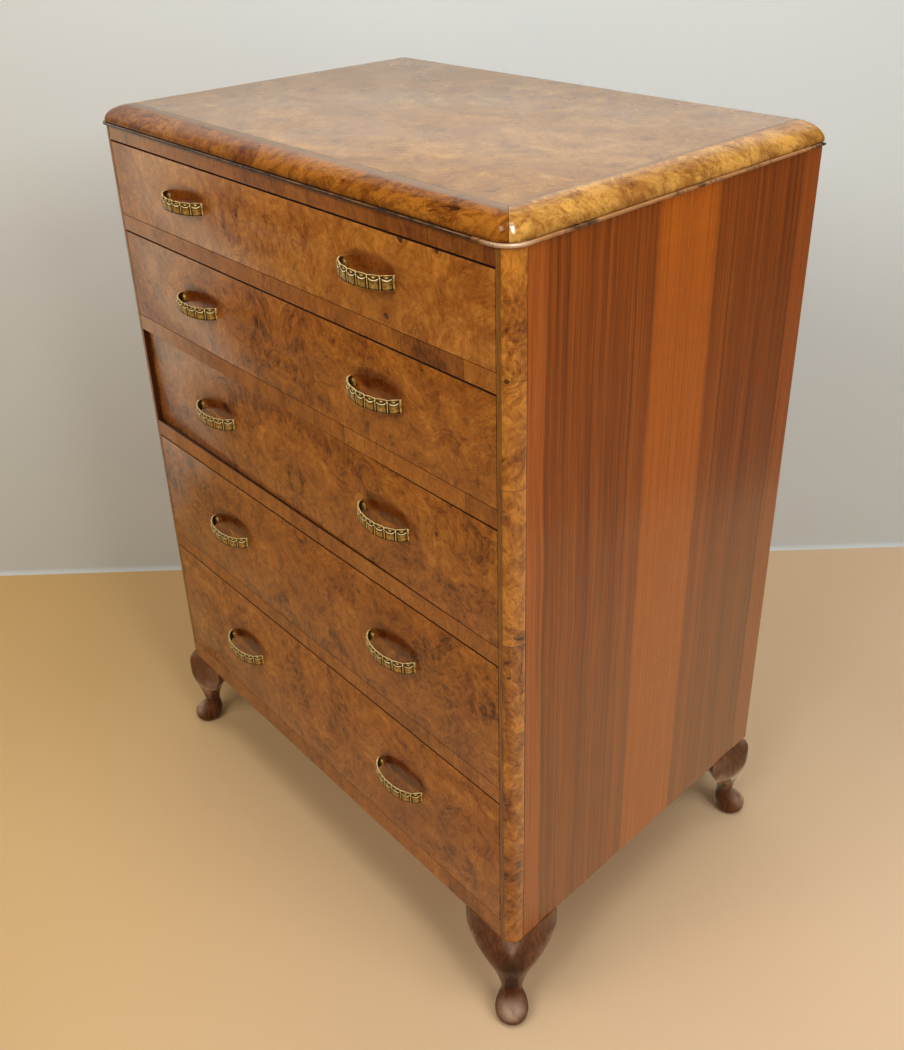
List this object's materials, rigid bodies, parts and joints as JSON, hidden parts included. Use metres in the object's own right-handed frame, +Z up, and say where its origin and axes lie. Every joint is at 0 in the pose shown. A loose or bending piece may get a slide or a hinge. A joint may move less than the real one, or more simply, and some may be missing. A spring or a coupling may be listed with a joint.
{
  "type": "chest of drawers",
  "caption": "Tall walnut-veneered chest of graduated drawers with cast brass bow handles, rounded corner posts, a bullnosed top and cabriole legs; each drawer slides out.",
  "frame": {"origin": "middle of the bounding box at floor level", "axes": "+Z up; -Y is the front, where the drawers open; +X is the right side seen from the front"},
  "size_m": [0.785, 0.534, 1.0555],
  "materials": {
    "burr_walnut": "burr walnut veneer under a worn gloss polish",
    "burr_edge": "burr walnut veneer, glossy, lighter and more golden",
    "crossband": "crossbanded walnut veneer, satin",
    "straight_walnut": "straight-grained walnut veneer, satin",
    "leg_walnut": "dark stained solid walnut, glossy, worn paler on its edges",
    "drawer_stock": "plain planed softwood, no polish",
    "thin_board": "thin plywood, no polish",
    "antique_brass": "cast brass with a brown patina, bright on its high edges"
  },
  "bodies": {
    "case": {"back_panel": "thin_board", "bottom_board": "drawer_stock", "bottom_rail": "crossband", "corner_post_left": "burr_walnut", "corner_post_right": "burr_walnut", "divider_rail_1": "crossband", "divider_rail_2": "crossband", "divider_rail_3": "crossband", "divider_rail_4": "crossband", "kicker_frame": "drawer_stock", "leg_back_left": "leg_walnut", "leg_back_right": "leg_walnut", "leg_front_left": "leg_walnut", "leg_front_right": "leg_walnut", "runner_frame_1": "drawer_stock", "runner_frame_2": "drawer_stock", "runner_frame_3": "drawer_stock", "runner_frame_4": "drawer_stock", "side_panel_left": "straight_walnut", "side_panel_right": "straight_walnut", "top_moulding_front": "burr_edge", "top_moulding_left": "burr_edge", "top_moulding_right": "burr_edge", "top_panel": "burr_walnut", "top_rail": "crossband"},
    "drawer_1": {"drawer_1_front": "burr_walnut", "drawer_1_side_left": "drawer_stock", "drawer_1_side_right": "drawer_stock", "drawer_1_back": "drawer_stock", "drawer_1_bottom": "thin_board", "drawer_1_handle_left": "antique_brass", "drawer_1_handle_right": "antique_brass"},
    "drawer_2": {"drawer_2_front": "burr_walnut", "drawer_2_side_left": "drawer_stock", "drawer_2_side_right": "drawer_stock", "drawer_2_back": "drawer_stock", "drawer_2_bottom": "thin_board", "drawer_2_handle_left": "antique_brass", "drawer_2_handle_right": "antique_brass"},
    "drawer_3": {"drawer_3_front": "burr_walnut", "drawer_3_side_left": "drawer_stock", "drawer_3_side_right": "drawer_stock", "drawer_3_back": "drawer_stock", "drawer_3_bottom": "thin_board", "drawer_3_handle_left": "antique_brass", "drawer_3_handle_right": "antique_brass"},
    "drawer_4": {"drawer_4_front": "burr_walnut", "drawer_4_side_left": "drawer_stock", "drawer_4_side_right": "drawer_stock", "drawer_4_back": "drawer_stock", "drawer_4_bottom": "thin_board", "drawer_4_handle_left": "antique_brass", "drawer_4_handle_right": "antique_brass"},
    "drawer_5": {"drawer_5_front": "burr_walnut", "drawer_5_side_left": "drawer_stock", "drawer_5_side_right": "drawer_stock", "drawer_5_back": "drawer_stock", "drawer_5_bottom": "thin_board", "drawer_5_handle_left": "antique_brass", "drawer_5_handle_right": "antique_brass"}
  },
  "joints": [
    {"name": "drawer_1_slide", "type": "slide", "parent": "case", "child": "drawer_1", "axis": [0, -1, 0], "range_m": [0, 0.36]},
    {"name": "drawer_2_slide", "type": "slide", "parent": "case", "child": "drawer_2", "axis": [0, -1, 0], "range_m": [0, 0.36]},
    {"name": "drawer_3_slide", "type": "slide", "parent": "case", "child": "drawer_3", "axis": [0, -1, 0], "range_m": [0, 0.36]},
    {"name": "drawer_4_slide", "type": "slide", "parent": "case", "child": "drawer_4", "axis": [0, -1, 0], "range_m": [0, 0.36]},
    {"name": "drawer_5_slide", "type": "slide", "parent": "case", "child": "drawer_5", "axis": [0, -1, 0], "range_m": [0, 0.36]}
  ]
}
